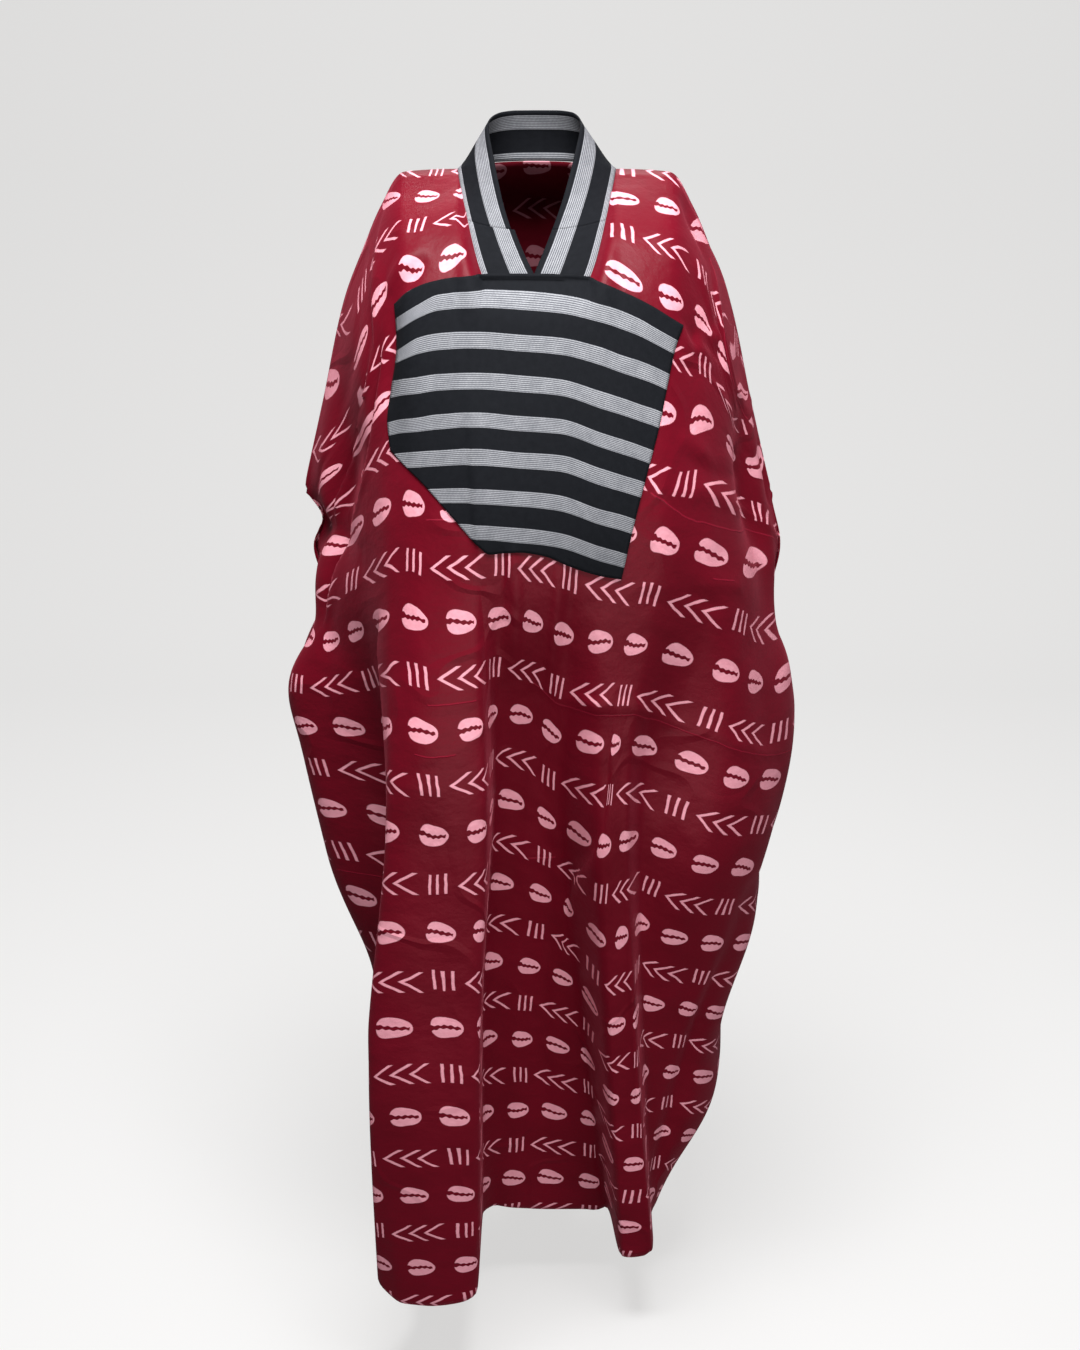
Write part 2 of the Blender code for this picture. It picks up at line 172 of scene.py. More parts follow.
def smooth(knots, values, at):
    """A curve through the values that doesn't overshoot: cubic, with limited slopes at the knots."""
    knots = np.asarray(knots, float)
    values = np.asarray(values, float)
    at = np.asarray(at, float)
    if values.ndim == 1:
        values = values[:, None]
        return smooth(knots, values, at)[:, 0]
    width = np.diff(knots)[:, None]
    rise = np.diff(values, axis=0) / width
    slope = np.zeros_like(values)
    slope[0] = rise[0]
    slope[-1] = rise[-1]
    same_way = rise[1:] * rise[:-1] > 0
    before = 2 * width[1:] + width[:-1]
    after = width[1:] + 2 * width[:-1]
    with np.errstate(divide="ignore", invalid="ignore"):
        mean = (before + after) / (before / rise[:-1] + after / rise[1:])
    slope[1:-1] = np.where(same_way, mean, 0.0)
    cell = np.clip(np.searchsorted(knots, at, side="right") - 1, 0, len(knots) - 2)
    step = width[cell]
    t = ((at - knots[cell]) / step[:, 0])[:, None]
    start = (1 + 2 * t) * (1 - t) ** 2 * values[cell] + t * (1 - t) ** 2 * step * slope[cell]
    end = t * t * (3 - 2 * t) * values[cell + 1] + t * t * (t - 1) * step * slope[cell + 1]
    return start + end


def shoulder_point(along):
    """A point of the shoulder seam, from its signed distance from the middle."""
    knots = [p.along for p in SHOULDER]
    x, z = smooth(knots, [(p.x, p.z) for p in SHOULDER], [abs(along)])[0]
    return np.array((np.copysign(x, along), 0.0, z))


def neck_side(share):
    """The right front neckline from the foot of the V (0) up to the shoulder seam (1)."""
    foot_y, foot_z = V_FOOT
    bow = 0.008 * np.sin(np.pi * share)
    return np.array((
        V_HALF + (NECK_HALF - V_HALF) * share ** 0.75,
        foot_y * (1 - share) - bow,
        foot_z * (1 - share) + bow * 0.5,
    ))


def front_top(along):
    """The upper edge of the front: shoulder seam, neckline sides and foot of the V."""
    if abs(along) >= NECK_HALF:
        return shoulder_point(along)
    if abs(along) >= V_HALF:
        point = neck_side((abs(along) - V_HALF) / (NECK_HALF - V_HALF))
        point[0] = np.copysign(point[0], along)
        return point
    return np.array((along, *V_FOOT))


def back_neckline(share):
    """The back neckline from the left shoulder seam (-1) to the right one (1)."""
    turn = share * np.pi / 2
    return np.array((NECK_HALF * np.sin(turn), BACK_NECK_Y * np.cos(turn), BACK_NECK_RISE * np.cos(turn)))


def back_top(along):
    """The upper edge of the back: shoulder seam and shallow round neckline."""
    if abs(along) >= NECK_HALF:
        return shoulder_point(along)
    return back_neckline(along / NECK_HALF)


def side_wave(along, z):
    """How far a point of a panel is moved out by the bulges of its side's outline."""
    inward = np.clip((HALF_WIDTH - abs(along)) / WAVE_REACH, 0, 1)
    near_seam = 1 - inward * inward * (3 - 2 * inward)
    side = 1 if along > 0 else -1
    out = 0.0
    for wave in SIDE_WAVES:
        if wave.side == side:
            out += wave.out * np.exp(-(((z - wave.z) / wave.half_height) ** 2))
    return side * out * near_seam


def panel_columns(lines, crowds=()):
    """Where the fine columns lie along the shoulder seam: closer where the cloth is full or lapped."""
    dense = np.linspace(-HALF_WIDTH, HALF_WIDTH, 1081)
    across = among_lines(lines, dense)
    reach = np.abs(dense + HALF_WIDTH) / (2 * HALF_WIDTH)
    for level in (3, 4, 5, 6):
        plan = at_level(lines, level, across)
        length = reach_along(plan)
        reach = reach + length / length[-1]
    pace = np.gradient(reach, dense)
    for crowd in crowds:
        middle, half = (crowd.first + crowd.last) / 2, (crowd.last - crowd.first) / 2
        pace *= 1 + crowd.extra * np.exp(-(((dense - middle) / half) ** 4))
    reach = np.cumsum(pace) - pace[0]
    reach /= reach[-1]
    along = np.interp(np.linspace(0, 1, COLUMNS + 1), reach, dense)
    for exact in (-NECK_HALF, -V_HALF, 0.0, V_HALF, NECK_HALF):
        along[np.argmin(np.abs(along - exact))] = exact
    return along


def among_lines(lines, starts):
    """Which fold line each start along the seam is at: 1.5 is halfway between the second and the third."""
    return np.interp(starts, [line.along for line in lines], np.arange(len(lines)))


def among_levels():
    """Which level each row of points is at, from 0 at the upper edge."""
    return np.concatenate([level + np.arange(rows) / rows for level, rows in enumerate(ROWS)] + [[len(ROWS)]])


def at_level(lines, level, across):
    """A column of a table of lines, read between its lines."""
    return smooth(np.arange(len(lines)), [line[level] for line in lines], across)


def panel_points(lines, top, starts):
    """Rows of points from the upper edge to the hem, each row from the left seam to the right one."""
    across = among_lines(lines, starts)
    down = among_levels()
    level_plans = [at_level(lines, level, across) for level in range(2, 7)]
    level_shares = [z / HEM_Z for z in LEVEL_Z]
    columns = []
    for column, along in enumerate(starts):
        upper = top(along)
        shoulder = shoulder_point(along)
        chest = level_plans[0][column]
        chest_z = shoulder[2] + (HEM_Z - shoulder[2]) * level_shares[0]
        if upper[2] < shoulder[2]:
            chest_z = min(chest_z, upper[2] - BELOW_V * (shoulder[2] - upper[2]))
        yoke_x = upper[0] + (chest[0] - upper[0]) * YOKE_SHARE
        yoke_y = upper[1] + (chest[1] - upper[1]) * YOKE_FORWARD
        yoke_z = upper[2] + (chest_z - upper[2]) * YOKE_SHARE
        points = [upper, (yoke_x, yoke_y, yoke_z), (*chest, chest_z)]
        for level in range(1, 5):
            z = shoulder[2] + (HEM_Z - shoulder[2]) * level_shares[level]
            points.append((*level_plans[level][column], z))
        curve = smooth(np.arange(len(points)), points, down)
        curve[:, 0] += side_wave(along, curve[:, 2])
        columns.append(curve)
    return np.array(columns).transpose(1, 0, 2)


def part_seams(points, starts, facing):
    """Draws a panel's upper and side edges back from the seam, and opens the sleeve ends."""
    points = points.copy()
    on_shoulder = np.abs(starts) >= NECK_HALF
    points[0, on_shoulder, 1] += facing * SEAM_GAP / 2
    for edge in (0, -1):
        below = points[0, edge, 2] - points[:, edge, 2]
        share = np.clip(below / SLEEVE_OPENING, 0, 1)
        points[:, edge, 1] += facing * (SEAM_GAP / 2 + SLEEVE_PARTING * np.sin(np.pi * share))
    return points


EASE = 46                # the back's print evens out over this many of its 2 mm steps each way


def cloth_coordinates(points, starts):
    """Where each point lies on the flat cloth: metres across from the middle, and down from the shoulder."""
    middle = int(np.argmin(np.abs(starts)))
    across = reach_across(points)
    across -= across[:, middle:middle + 1]
    left = across[:, :1]
    right = across[:, -1:]
    across = np.where(across < 0, across / left * -HALF_WIDTH, across / right * HALF_WIDTH)
    grid = np.linspace(-HALF_WIDTH, HALF_WIDTH, 541)
    places = [[shoulder_point(along) for along in grid]]
    for row, here in zip(across, points):
        places.append(np.array([np.interp(grid, row, axis) for axis in here.T]).T)
    down = np.cumsum(np.linalg.norm(np.diff(places, axis=0), axis=2), axis=0)
    window = np.hanning(2 * EASE + 1)
    padded = np.pad(down, ((0, 0), (EASE, EASE)), mode="edge")
    down = np.array([np.convolve(row, window / window.sum(), "valid") for row in padded])
    fall = np.array([np.interp(across[row], grid, down[row]) for row in range(len(points))])
    return across, fall


# Where the printed cloth lies on the front: for each of FRONT_LINES in its order and each level, how
# far across from the middle of the cloth's width and how far down from its shoulder fold.
FlatLine = namedtuple("FlatLine", "top yoke chest elbow waist thigh hem")
FRONT_FLAT = table(
    FlatLine,
    ((-340, 290), (-335, 350), (-360, 500), (-420, 670), (-440, 900), (-460, 1170), (-480, 1480)),
    ((-310, 210), (-300, 258), (-305, 415), (-355, 620), (-365, 880), (-390, 1150), (-410, 1490)),
    ((-297, 142), (-275, 204), (-266, 356), (-290, 565), (-318, 840), (-345, 1140), (-360, 1495)),
    ((-270, 74), (-256, 158), (-240, 328), (-232, 540), (-268, 800), (-310, 1135), (-320, 1500)),
    ((-220, 70), (-202, 158), (-190, 300), (-180, 532), (-208, 810), (-240, 1130), (-265, 1510)),
    ((-184, 0), (-150, 148), (-138, 275), (-129, 500), (-145, 790), (-178, 1132), (-190, 1510)),
    ((-118, -4), (-98, 165), (-90, 275), (-88, 500), (-86, 792), (-106, 1118), (-130, 1510)),
    ((-62, 226), (-60, 256), (-56, 306), (-55, 503), (-25, 790), (-20, 1135), (-12, 1510)),
    ((-10, 216), (-8, 246), (-2, 298), (8, 497), (15, 776), (43, 1122), (75, 1508)),
    ((20, 208), (24, 240), (30, 292), (60, 482), (66, 747), (120, 1090), (175, 1500)),
    ((45, 0), (46, 138), (42, 275), (94, 474), (126, 750), (185, 1070), (245, 1500)),
    ((98, -3), (108, 115), (90, 250), (144, 464), (180, 754), (232, 1080), (280, 1500)),
    ((147, 55), (155, 135), (150, 285), (193, 482), (212, 766), (285, 1095), (330, 1500)),
    ((195, 95), (235, 130), (188, 308), (241, 500), (282, 765), (325, 1095), (355, 1495)),
    ((275, 115), (240, 215), (212, 362), (304, 525), (337, 780), (372, 1090), (385, 1480)),
    ((250, 280), (240, 315), (265, 408), (350, 570), (387, 790), (410, 1080), (420, 1460)),
    ((275, 330), (295, 365), (330, 455), (380, 620), (450, 820), (470, 1080), (470, 1450)),
)


# How far down the cloth the neckline's left side lies, by the share of the way from shoulder to V
NECK_SHARES = (0.0, 0.20, 0.32, 0.45, 0.59, 0.75, 1.0)
NECK_DOWN = (0.0, 0.050, 0.080, 0.120, 0.150, 0.180, 0.226)


def front_coordinates(starts):
    """Where each point of the front lies on its flat cloth, by the table of the print's places."""
    across = among_lines(FRONT_LINES, starts)
    numbers = np.arange(len(FRONT_LINES))
    levels = [at_level(FRONT_FLAT, level, across) for level in range(7)]
    on_neckline = (np.abs(starts) > V_HALF) & (np.abs(starts) < NECK_HALF)
    for level in (0, 1):
        columns = zip(*[line[level] for line in FRONT_FLAT])
        straight = np.array([np.interp(across, numbers, column) for column in columns]).T
        levels[level] = np.where(on_neckline[:, None], straight, levels[level])
    to_v = (NECK_HALF + starts) / (NECK_HALF - V_HALF)
    left = on_neckline & (starts < 0)
    levels[0][left, 1] = np.interp(to_v[left], NECK_SHARES, NECK_DOWN)
    down = among_levels()
    columns = [smooth(np.arange(7), [level[c] for level in levels], down) for c in range(len(starts))]
    flat = np.array(columns).transpose(1, 0, 2)
    return flat[..., 0], flat[..., 1]


# Creases and laps

# A crease of the cloth, by the flat cloth's places (across, down): a ridge, or a trough where its
# height is below zero. Seen from its start, left and right are its half-widths to either hand.
Crease = namedtuple("Crease", "across down to_across to_down bow left right height")
FRONT_CREASES = table(
    Crease,
    # left shoulder and sleeve
    (-120, 20, -165, 120, 4, 14, 10, -1.8),
    (-196, 60, -210, 235, -4, 6, 22, 4.5),
    (-128, 176, -178, 214, 4, 10, 7, -5),
    (-130, 160, -186, 192, 4, 10, 12, 4),
    (-172, 210, -186, 330, 0, 10, 10, -6),
    (-255, 130, -300, 260, 10, 12, 12, -3),
    (-270, 240, -330, 330, 0, 8, 8, -2),
    # right shoulder and sleeve
    (112, 26, 158, 96, -4, 7, 7, -5),
    (160, 76, 250, 245, 12, 5, 12, 4),
    (132, 110, 176, 165, -6, 7, 10, 3),
    (102, 212, 134, 238, 0, 20, 5, 5),
    (131, 240, 146, 206, 0, 20, 5, 5),
    (144, 212, 192, 158, 0, 20, 5, 5),
    (104, 228, 196, 182, -10, 9, 20, -4.5),
    (178, 160, 224, 240, 4, 6, 14, 3.5),
    (120, 60, 90, 120, 4, 12, 12, -1.4),
    (60, 100, 118, 132, 4, 8, 8, 1.2),
    (122, 330, 174, 362, 4, 5, 8, 2.6),
    (140, 352, 196, 352, -6, 8, 5, -2.6),
    (206, 300, 208, 345, 0, 6, 6, -3),
    (236, 290, 262, 350, 4, 8, 8, -4),
    # pressed creases of the folded length of cloth
    (108, 391, 292, 398, 12, 4, 9, 2.6),
    (0, 640, 372, 656, 4, 4, 8, 2.6),
    (-142, 656, -88, 654, -3, 4, 6, 1.8),
    (-160, 716, -116, 715, 0, 4, 6, 1.8),
    (24, 892, 68, 862, 0, 5, 5, 1.8),
    (-130, 451, -104, 449, 0, 4, 5, 1.6),
    # under the patch
    (-36, 478, -22, 640, 3, 9, 9, 4.5),
    (-52, 478, -44, 640, 0, 8, 8, -3.5),
    (34, 484, 40, 640, -2, 9, 8, 4),
    (50, 486, 60, 620, 0, 8, 10, -3),
    # right arm's crumples and the long drape
    (196, 470, 236, 462, 2, 6, 6, 2.4),
    (186, 486, 222, 494, 2, 6, 6, -2.4),
    (300, 420, 330, 560, 6, 12, 12, -4),
    (374, 820, 330, 1460, 10, 12, 16, -9),
    (360, 1090, 400, 1070, 0, 6, 8, -4),
    # soft standing folds of the lower part
    (-300, 640, -330, 1300, 10, 26, 26, -5),
    (-360, 500, -400, 1380, 8, 22, 22, 5),
    (-150, 760, -168, 1500, 4, 18, 22, -3),
    (-118, 1050, -124, 1500, 2, 12, 12, 2.2),
    (10, 660, 50, 1480, 4, 16, 16, 4),
    (52, 820, 94, 1500, 4, 12, 12, -4),
    (170, 680, 235, 1380, 6, 14, 20, -3.5),
    (268, 680, 300, 1280, 8, 24, 18, 4.5),
    (300, 560, 420, 900, 10, 20, 14, -3),
    # the hem
    (-220, 1330, -226, 1540, 0, 10, 14, 3),
    (20, 1380, 28, 1540, 0, 8, 10, -3),
    (150, 1330, 156, 1540, 2, 10, 10, 3),
)
BACK_CREASES = table(
    Crease,
    (-60, 20, -150, 240, 10, 10, 16, -3),
    (50, 18, 140, 260, -10, 16, 10, -3.4),
    (-12, 60, 6, 380, 6, 14, 14, 2.8),
    (-200, 80, -250, 330, 8, 8, 20, 4),
    (190, 70, 262, 300, -6, 20, 8, 4.4),
    (-290, 260, -180, 390, 10, 7, 12, 3),
    (300, 250, 200, 400, -10, 12, 7, 2.8),
    (-330, 400, -60, 402, 8, 4, 8, 2.4),
    (-40, 650, 350, 652, 6, 4, 8, 2.6),
    (-350, 900, -110, 898, 4, 4, 7, 2),
    (90, 880, 140, 896, 0, 5, 6, 2),
    (-120, 380, -150, 1200, 12, 20, 14, -5),
    (118, 420, 146, 1280, -10, 14, 20, -5),
    (-20, 500, -12, 1460, 6, 18, 22, 4.4),
    (72, 560, 86, 1420, -4, 14, 12, 3.6),
    (-240, 560, -262, 1350, 8, 16, 24, 4),
    (236, 520, 262, 1300, -6, 22, 14, -4),
    (-372, 460, -400, 1260, 10, 18, 18, -4.4),
    (362, 480, 396, 1340, -12, 16, 20, 5),
    (-310, 470, -350, 620, 4, 10, 8, -3.6),
    (330, 430, 372, 560, 4, 8, 12, -3.4),
    (-70, 1240, -66, 1500, 0, 10, 12, -3),
    (180, 1200, 188, 1500, 0, 12, 10, 3),
)


def creased(points, normals, flat, creases):
    """Points of a panel moved along their normals by its creases; each fades out towards its ends."""
    place = np.stack(flat, axis=2)
    rise = np.zeros(points.shape[:2])
    for crease in creases:
        start = np.array((crease.across, crease.down))
        run = np.array((crease.to_across, crease.to_down)) - start
        length = np.hypot(*run)
        share = (place - start) @ run / length ** 2
        off = (place - start) @ np.array((run[1], -run[0])) / length - crease.bow * 4 * share * (1 - share)
        width = np.where(off < 0, crease.left, crease.right)
        fade = np.sin(np.pi * np.clip(share, 0, 1)) ** 0.6
        rise += crease.height * fade * np.exp(-((off / width) ** 2))
    return points + normals * rise[..., None]


# A fold that lies over its neighbour: its edge by the flat cloth's places, the side whose cloth is
# on top (1 right, -1 left), how far its layers run back, how far it stands off and the cloth it hides.
Lap = namedtuple("Lap", "edge side run lift hidden")
FRONT_LAPS = table(
    Lap,
    (((-216, 200), (-236, 240), (-262, 300), (-280, 350), (-300, 430)), 1, 16, 3, 18),
    (((-196, 230), (-214, 300), (-240, 380), (-268, 440), (-290, 500), (-320, 560)), 1, 20, 3.6, 28),
    (((-196, 540), (-206, 620), (-214, 680), (-230, 760), (-240, 860), (-255, 1000),
     (-262, 1120)), 1, 24, 4, 34),
    (((136, 620), (138, 690), (140, 750), (130, 812), (106, 875), (96, 950), (92, 1060)), 1, 5.5, 2, 14),
    plain="side",
)
LAP_HALF_WIDTH = 0.010
LAP_FADE = 0.07          # a lap opens out over this much cloth at each end


def lapped(points, normals, flat, laps):
    """Points of a panel folded over themselves along its laps, and their places on the flat cloth."""
    across, down = (field.copy() for field in flat)
    reach = reach_across(points)
    tangent = np.gradient(points, axis=1)
    tangent /= np.linalg.norm(tangent, axis=2, keepdims=True)
    moved = points.copy()
    for lap in laps:
        edge_down = [d for _, d in lap.edge]
        level = np.clip(flat[1], edge_down[0], edge_down[-1])
        off = flat[0] - smooth(edge_down, [a for a, _ in lap.edge], level.ravel()).reshape(level.shape)
        for row in range(len(points)):
            cross = np.nonzero((off[row, :-1] <= 0) & (off[row, 1:] > 0))[0]
            if not len(cross):
                continue
            first = cross[0]
            share = -off[row, first] / (off[row, first + 1] - off[row, first])
            start = reach[row, first] + share * (reach[row, first + 1] - reach[row, first])
            height = down[row, first]
            fade = min((height - edge_down[0]) / LAP_FADE, (edge_down[-1] - height) / LAP_FADE, 1.0)
            if fade <= 0:
                continue
            fade = fade * fade * (3 - 2 * fade)
            q = (reach[row] - start) / LAP_HALF_WIDTH
            back = -lap.run * fade * q * np.exp(-q * q)
            lift = lap.side * lap.lift * fade * np.tanh(q / 0.6) * np.exp(-((q / 3.5) ** 2))
            moved[row] += tangent[row] * back[:, None] + normals[row] * lift[:, None]
            across[row] += lap.hidden * fade * (np.tanh(q) - np.tanh(q * LAP_HALF_WIDTH / 0.05)) / 2
    return moved, (across, down)


def outward_normals(points, facing):
    """Unit normals out of the garment; along the seams they keep to the seam's own plane."""
    normals = np.cross(np.gradient(points, axis=0), np.gradient(points, axis=1))
    normals *= np.sign((normals[..., 1] * facing).sum())
    normals /= np.linalg.norm(normals, axis=2, keepdims=True)
    for edge in (np.s_[0, :], np.s_[:, 0], np.s_[:, -1]):
        normals[edge][..., 1] = 0.0
    return normals / np.linalg.norm(normals, axis=2, keepdims=True)


# Meshes

CLOTH = 0.0009           # wall of the cloth's shell
ON_WALL = 0.0010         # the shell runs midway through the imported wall
PATCH_ON_WALL = 0.0024
PATCH_CLOTH = 0.0010


def stand(name, data, place=(0.0, 0.0, 0.0), turn=(0.0, 0.0, 0.0)):
    """An object in the scene that shows some data."""
    made = bpy.data.objects.new(name, data)
    made.location = place
    made.rotation_euler = turn
    bpy.context.scene.collection.objects.link(made)
    return made


def cell_corners(rows, columns):
    """The numbers of the four corners of a grid's cells, in turn round each cell."""
    grid = np.arange(rows * columns).reshape(rows, columns)
    return [corner.ravel() for corner in (grid[:-1, :-1], grid[1:, :-1], grid[1:, 1:], grid[:-1, 1:])]


def grid_object(name, points, uv, outward, thickness, material, inner=None):
    """A thin shell through a grid of points, with the cloth's own flat coordinates as its UV map."""
    quads = np.stack(cell_corners(*points.shape[:2]), axis=1)[:, ::outward]
    mesh = bpy.data.meshes.new(name)
    mesh.from_pydata(points.reshape(-1, 3).tolist(), [], quads.tolist())
    flat = mesh.uv_layers.new(name="cloth")
    places = uv.reshape(-1, 2)[quads.ravel()]
    flat.data.foreach_set("uv", places.astype(np.float32).ravel())
    mesh.materials.append(material)
    mesh.shade_smooth()
    mesh.update()
    piece = stand(name, mesh)
    shell = piece.modifiers.new("shell", "SOLIDIFY")
    shell.thickness = thickness
    shell.offset = 0.0
    shell.use_even_offset = False
    if inner:
        mesh.materials.append(inner)
        shell.material_offset = 1
    return piece


def settle(piece):
    """Applies a piece's modifiers."""
    graph = bpy.context.evaluated_depsgraph_get()
    made = bpy.data.meshes.new_from_object(piece.evaluated_get(graph), depsgraph=graph)
    made.name = piece.name
    old = piece.data
    piece.modifiers.clear()
    piece.data = made
    bpy.data.meshes.remove(old)
    made.shade_smooth()
    return piece


# Shader fields


def plug(socket, value):
    """Sets a socket to a constant, or links a field or another socket into it."""
    value = getattr(value, "socket", value)
    if isinstance(value, bpy.types.NodeSocket):
        socket.id_data.links.new(value, socket)
    else:
        socket.default_value = value


def add_node(tree, kind, **inputs):
    """A shader node with some of its named inputs set or linked."""
    node = tree.nodes.new("ShaderNode" + kind)
    for name, value in inputs.items():
        plug(node.inputs[name], value)
    return node


class Field:
    """A number worked out by shader nodes, so that a formula reads as one."""

    def __init__(self, socket):
        self.socket = socket
        self.tree = socket.id_data

    def math(self, operation, *others, clamp=False):
        node = add_node(self.tree, "Math")
        node.operation = operation
        node.use_clamp = clamp
        for socket, value in zip(node.inputs, (self, *others)):
            plug(socket, value)
        return Field(node.outputs[0])

    floor = partialmethod(math, "FLOOR")
    fraction = partialmethod(math, "FRACT")
    sine = partialmethod(math, "SINE")
    power = partialmethod(math, "POWER")
    least = partialmethod(math, "MINIMUM")
    most = partialmethod(math, "MAXIMUM")
    __abs__ = partialmethod(math, "ABSOLUTE")
    __add__ = __radd__ = partialmethod(math, "ADD")
    __sub__ = partialmethod(math, "SUBTRACT")
    __mul__ = __rmul__ = partialmethod(math, "MULTIPLY")
    __truediv__ = partialmethod(math, "DIVIDE")

    def __rsub__(self, other):
        return self * -1.0 + other

    def nearest(self, pitch, reach=None):
        """The number of the nearest of the places that repeat by pitch, out to reach each way."""
        number = (self / pitch + 0.5).floor()
        return number if reach is None else number.most(-reach).least(reach)

    def edge(self, softness):
        """Coverage from 0 to 1 as a signed depth inside a shape goes from outside to inside."""
        return (self / (2.0 * softness)).math("ADD", 0.5, clamp=True)


def cloth_fields(tree):
    """The flat cloth's coordinates in metres: across, and down."""
    uv = add_node(tree, "UVMap")
    uv.uv_map = "cloth"
    split = add_node(tree, "SeparateXYZ", Vector=uv.outputs[0])
    return uv.outputs[0], Field(split.outputs[0]), Field(split.outputs[1])


def noise(place, scale, detail=2.0, roughness=0.5):
    """A noise field of mean 0.5 over a vector of places in metres."""
    node = add_node(place.id_data, "TexNoise", Vector=place, Scale=scale, Detail=detail, Roughness=roughness)
    return Field(node.outputs["Fac"])


def vector(x, y, z=0.0):
    """A vector socket out of fields."""
    return add_node(x.tree, "CombineXYZ", X=x, Y=y, Z=z).outputs[0]


def chance(x, y, seed):
    """A random number from 0 to 1 for each pair of whole numbers."""
    return Field(add_node(x.tree, "TexWhiteNoise", Vector=vector(x, y, seed)).outputs["Value"])


def mixed(share, low, high):
    """A colour between two colours, each a tuple or a socket."""
    node = add_node(share.tree, "Mix")
    node.data_type = "RGBA"
    for place, value in ((0, share), (6, low), (7, high)):
        plug(node.inputs[place], value)
    return node.outputs[2]


def new_material(name, roughness, sheen, sheen_roughness, specular):
    """A material and its shader."""
    material = bpy.data.materials.new(name)
    material.use_nodes = True
    shader = material.node_tree.nodes["Principled BSDF"]
    shader.inputs["Roughness"].default_value = roughness
    shader.inputs["Sheen Weight"].default_value = sheen
    shader.inputs["Sheen Roughness"].default_value = sheen_roughness
    shader.inputs["Specular IOR Level"].default_value = specular
    return material, shader


def relief(shader, height, distance, strength):
    """Bump from a height field, in metres of depth."""
    bump = add_node(shader.id_data, "Bump", Distance=distance, Strength=strength, Height=height)
    plug(shader.inputs["Normal"], bump.outputs["Normal"])


# The print

REPEAT = 0.098           # bars and chevrons repeat across by this much
ROW_PITCH = 0.125        # rows of bars and chevrons, down the cloth
BAR_PITCH = 0.0088
BAR_HALF_HEIGHT = 0.0128
CHEVRON_PITCH = 0.0175
CHEVRON_HALF_HEIGHT = 0.0138
CHEVRON_RUN = 0.0178     # how far an arm reaches across
STROKE = 0.00145         # half width of a stroke
COWRIE_HALF_LENGTH = 0.0155
COWRIE_HALF_HEIGHT = 0.0135
COWRIE_TAPER = 0.24
SLIT = 0.0024            # half height of the slit, between its teeth
TOOTH = 0.0007
TOOTH_PITCH = 0.0062
PRINT_EDGE = 0.0004

RED = (0.165, 0.0014, 0.0115, 1.0)
DEEP_RED = (0.125, 0.0010, 0.0080, 1.0)
# painted highlight: a lighter red drawn along the pressed creases, as light catching their ridges
CREASE_HIGHLIGHT_RED = (0.34, 0.010, 0.034, 1.0)
PINK = (0.90, 0.36, 0.44, 1.0)
PALE_PINK = (0.95, 0.42, 0.50, 1.0)
SATIN_SHEEN = (1.0, 0.14, 0.22, 1.0)


def stroke_rows(across, down):
    """Coverage of the rows of three bars and three chevrons."""
    row = down.nearest(ROW_PITCH)
    q = down - row * ROW_PITCH
    cell = (across / REPEAT + 0.5).floor()
    p = across - cell * REPEAT
    lean = (chance(cell, row, 3.0) - 0.5) * 0.16
    # bars stand half a repeat from the chevrons, on either side of the cell's edge
    from_bars = (abs(p) - REPEAT / 2) * (1.0 - 2.0 * p.math("LESS_THAN", 0.0))
    bar_p = from_bars + q * lean
    bar = bar_p.nearest(BAR_PITCH, 1.0)
    bar_depth = STROKE - abs(bar_p - bar * BAR_PITCH)
    bar_end = BAR_HALF_HEIGHT - abs(q + chance(bar, row, 5.0) * 0.002 - 0.001)
    bars_cover = bar_depth.edge(PRINT_EDGE) * bar_end.edge(PRINT_EDGE)
    slope = CHEVRON_RUN / CHEVRON_HALF_HEIGHT
    steep = CHEVRON_HALF_HEIGHT / math.hypot(CHEVRON_RUN, CHEVRON_HALF_HEIGHT)
    centre = CHEVRON_RUN / 2
    chevron_q = q - 0.0015 + p * lean
    apex_line = p + centre - abs(chevron_q) * slope
    chevron = apex_line.nearest(CHEVRON_PITCH, 1.0)
    arm_depth = STROKE - abs(apex_line - chevron * CHEVRON_PITCH) * steep
    arm_end = CHEVRON_HALF_HEIGHT - abs(chevron_q)
    chevrons_cover = arm_depth.edge(PRINT_EDGE) * arm_end.edge(PRINT_EDGE)
    return bars_cover.most(chevrons_cover)


def cowrie_rows(across, down):
    """Coverage of the rows of cowries between the stroke rows, each shell with its toothed slit."""
    row = (down / ROW_PITCH).floor()
    q = down - (row + 0.5) * ROW_PITCH
    cell = across.nearest(REPEAT / 2)
    p = across - cell * (REPEAT / 2)
    tilt = (chance(cell, row, 11.0) - 0.40) * 0.30
    x = p + q * tilt
    y = q - p * tilt
    half_height = COWRIE_HALF_HEIGHT * (1.0 + (chance(cell, row, 17.0) - 0.5) * 0.12)
    taper = 1.0 - (x / COWRIE_HALF_LENGTH) * COWRIE_TAPER
    oval = abs(x / COWRIE_HALF_LENGTH).power(2.6) + abs(y / (half_height * taper)).power(2.2)
    depth = (1.0 - oval) * (COWRIE_HALF_HEIGHT * 0.42)
    phase = chance(cell, row, 23.0) * 6.0
    middle = (x * 210.0 + phase).sine() * 0.0009
    lip = (y - middle).math("SIGN")
    teeth = (x * (2 * math.pi / TOOTH_PITCH) + phase + lip * 0.7).sine() * TOOTH
    flare = (x / -COWRIE_HALF_LENGTH - 0.6).most(0.0) * 0.0035
    opening = SLIT + teeth + flare - abs(y - middle) - (x / COWRIE_HALF_LENGTH).most(0.0) * 0.0006
    slit_end = (COWRIE_HALF_LENGTH - 0.0028) - x
    slit = opening.edge(PRINT_EDGE) * slit_end.edge(PRINT_EDGE)
    return depth.edge(PRINT_EDGE) * (1.0 - slit)


